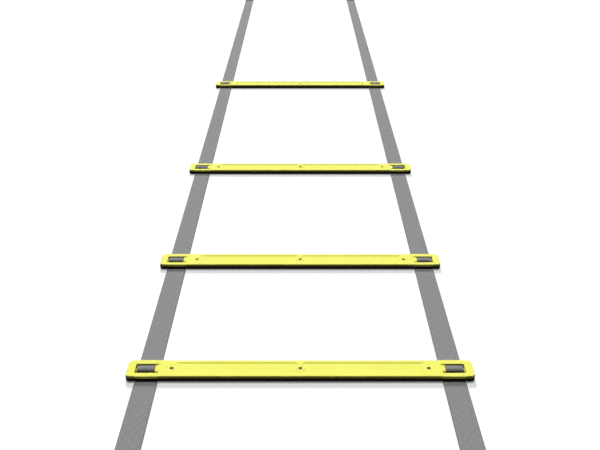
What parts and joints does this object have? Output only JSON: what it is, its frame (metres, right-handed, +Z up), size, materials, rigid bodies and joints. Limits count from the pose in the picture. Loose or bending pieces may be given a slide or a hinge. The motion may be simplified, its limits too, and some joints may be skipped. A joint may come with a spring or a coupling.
{
  "type": "agility ladder",
  "caption": "Agility ladder for the floor: flat rigid rungs that slide along two webbing straps, which fold in every bay so that the rungs stack as a concertina.",
  "frame": {"origin": "on the floor under the middle of the ladder", "axes": "+X along the rungs to the right, +Y along the ladder away from the viewer, +Z up"},
  "size_m": [0.45, 4.35, 0.009],
  "materials": {
    "yellow_plastic": "moulded, satin",
    "black_rubber": "matt, non-slip",
    "dark_rivet": "dull, dark",
    "grey_webbing": "woven webbing"
  },
  "bodies": {
    "section_1": {"strap_left_1": "grey_webbing", "strap_right_1": "grey_webbing"},
    "section_2": {"strap_left_2": "grey_webbing", "strap_right_2": "grey_webbing"},
    "section_3": {"strap_left_3": "grey_webbing", "strap_right_3": "grey_webbing"},
    "section_4": {"strap_left_4": "grey_webbing", "strap_right_4": "grey_webbing"},
    "section_5": {"strap_left_5": "grey_webbing", "strap_right_5": "grey_webbing"},
    "section_6": {"strap_left_6": "grey_webbing", "strap_right_6": "grey_webbing"},
    "section_7": {"strap_left_7": "grey_webbing", "strap_right_7": "grey_webbing"},
    "section_8": {"strap_left_8": "grey_webbing", "strap_right_8": "grey_webbing"},
    "tail_1": {"tail_left_1": "grey_webbing", "tail_right_1": "grey_webbing"},
    "tail_2": {"tail_left_2": "grey_webbing", "tail_right_2": "grey_webbing"},
    "rung_1": {"rung_bar_1": "yellow_plastic", "rung_base_1": "black_rubber", "rivet_left_1": "dark_rivet", "rivet_middle_1": "dark_rivet", "rivet_right_1": "dark_rivet"},
    "rung_2": {"rung_bar_2": "yellow_plastic", "rung_base_2": "black_rubber", "rivet_left_2": "dark_rivet", "rivet_middle_2": "dark_rivet", "rivet_right_2": "dark_rivet"},
    "rung_3": {"rung_bar_3": "yellow_plastic", "rung_base_3": "black_rubber", "rivet_left_3": "dark_rivet", "rivet_middle_3": "dark_rivet", "rivet_right_3": "dark_rivet"},
    "rung_4": {"rung_bar_4": "yellow_plastic", "rung_base_4": "black_rubber", "rivet_left_4": "dark_rivet", "rivet_middle_4": "dark_rivet", "rivet_right_4": "dark_rivet"},
    "rung_5": {"rung_bar_5": "yellow_plastic", "rung_base_5": "black_rubber", "rivet_left_5": "dark_rivet", "rivet_middle_5": "dark_rivet", "rivet_right_5": "dark_rivet"},
    "rung_6": {"rung_bar_6": "yellow_plastic", "rung_base_6": "black_rubber", "rivet_left_6": "dark_rivet", "rivet_middle_6": "dark_rivet", "rivet_right_6": "dark_rivet"},
    "rung_7": {"rung_bar_7": "yellow_plastic", "rung_base_7": "black_rubber", "rivet_left_7": "dark_rivet", "rivet_middle_7": "dark_rivet", "rivet_right_7": "dark_rivet"},
    "rung_8": {"rung_bar_8": "yellow_plastic", "rung_base_8": "black_rubber", "rivet_left_8": "dark_rivet", "rivet_middle_8": "dark_rivet", "rivet_right_8": "dark_rivet"}
  },
  "joints": [
    {"name": "fold_1", "type": "hinge", "parent": "section_1", "child": "section_2", "pos_m": [0, -1.725, 0.0093], "axis": [1, 0, 0], "range_deg": [0, 179.5]},
    {"name": "fold_2", "type": "hinge", "parent": "section_2", "child": "section_3", "pos_m": [0, -1.325, -0.0003], "axis": [-1, 0, 0], "range_deg": [0, 179.5]},
    {"name": "fold_3", "type": "hinge", "parent": "section_3", "child": "section_4", "pos_m": [0, -0.925, 0.0093], "axis": [1, 0, 0], "range_deg": [0, 179.5]},
    {"name": "fold_4", "type": "hinge", "parent": "section_4", "child": "section_5", "pos_m": [0, -0.525, -0.0003], "axis": [-1, 0, 0], "range_deg": [0, 179.5]},
    {"name": "fold_5", "type": "hinge", "parent": "section_5", "child": "section_6", "pos_m": [0, -0.125, 0.0093], "axis": [1, 0, 0], "range_deg": [0, 179.5]},
    {"name": "fold_6", "type": "hinge", "parent": "section_6", "child": "section_7", "pos_m": [0, 0.275, -0.0003], "axis": [-1, 0, 0], "range_deg": [0, 179.5]},
    {"name": "fold_7", "type": "hinge", "parent": "section_7", "child": "section_8", "pos_m": [0, 0.675, 0.0093], "axis": [1, 0, 0], "range_deg": [0, 179.5]},
    {"name": "fold_8", "type": "hinge", "parent": "section_8", "child": "tail_1", "pos_m": [0, 1.075, -0.0003], "axis": [-1, 0, 0], "range_deg": [0, 179.5]},
    {"name": "fold_9", "type": "hinge", "parent": "tail_1", "child": "tail_2", "pos_m": [0, 1.625, 0.0035], "axis": [1, 0, 0], "range_deg": [0, 179.5]},
    {"name": "slide_1", "type": "slide", "parent": "section_1", "child": "rung_1", "axis": [0, 1, 0], "range_m": [-0.15, 0.15], "deforming": ["strap_left_1", "strap_right_1"]},
    {"name": "slide_2", "type": "slide", "parent": "section_2", "child": "rung_2", "axis": [0, 1, 0], "range_m": [-0.15, 0.15], "deforming": ["strap_left_2", "strap_right_2"]},
    {"name": "slide_3", "type": "slide", "parent": "section_3", "child": "rung_3", "axis": [0, 1, 0], "range_m": [-0.15, 0.15], "deforming": ["strap_left_3", "strap_right_3"]},
    {"name": "slide_4", "type": "slide", "parent": "section_4", "child": "rung_4", "axis": [0, 1, 0], "range_m": [-0.15, 0.15], "deforming": ["strap_left_4", "strap_right_4"]},
    {"name": "slide_5", "type": "slide", "parent": "section_5", "child": "rung_5", "axis": [0, 1, 0], "range_m": [-0.15, 0.15], "deforming": ["strap_left_5", "strap_right_5"]},
    {"name": "slide_6", "type": "slide", "parent": "section_6", "child": "rung_6", "axis": [0, 1, 0], "range_m": [-0.05, 0.25], "deforming": ["strap_left_6", "strap_right_6"]},
    {"name": "slide_7", "type": "slide", "parent": "section_7", "child": "rung_7", "axis": [0, 1, 0], "range_m": [-0.05, 0.25], "deforming": ["strap_left_7", "strap_right_7"]},
    {"name": "slide_8", "type": "slide", "parent": "section_8", "child": "rung_8", "axis": [0, 1, 0], "range_m": [-0.25, 0.05], "deforming": ["strap_left_8", "strap_right_8"]}
  ],
  "couplings": [
    {"joint": "fold_2", "follows": "fold_1", "ratio": 1},
    {"joint": "fold_4", "follows": "fold_3", "ratio": 1},
    {"joint": "fold_6", "follows": "fold_5", "ratio": 1},
    {"joint": "fold_8", "follows": "fold_7", "ratio": 1}
  ]
}
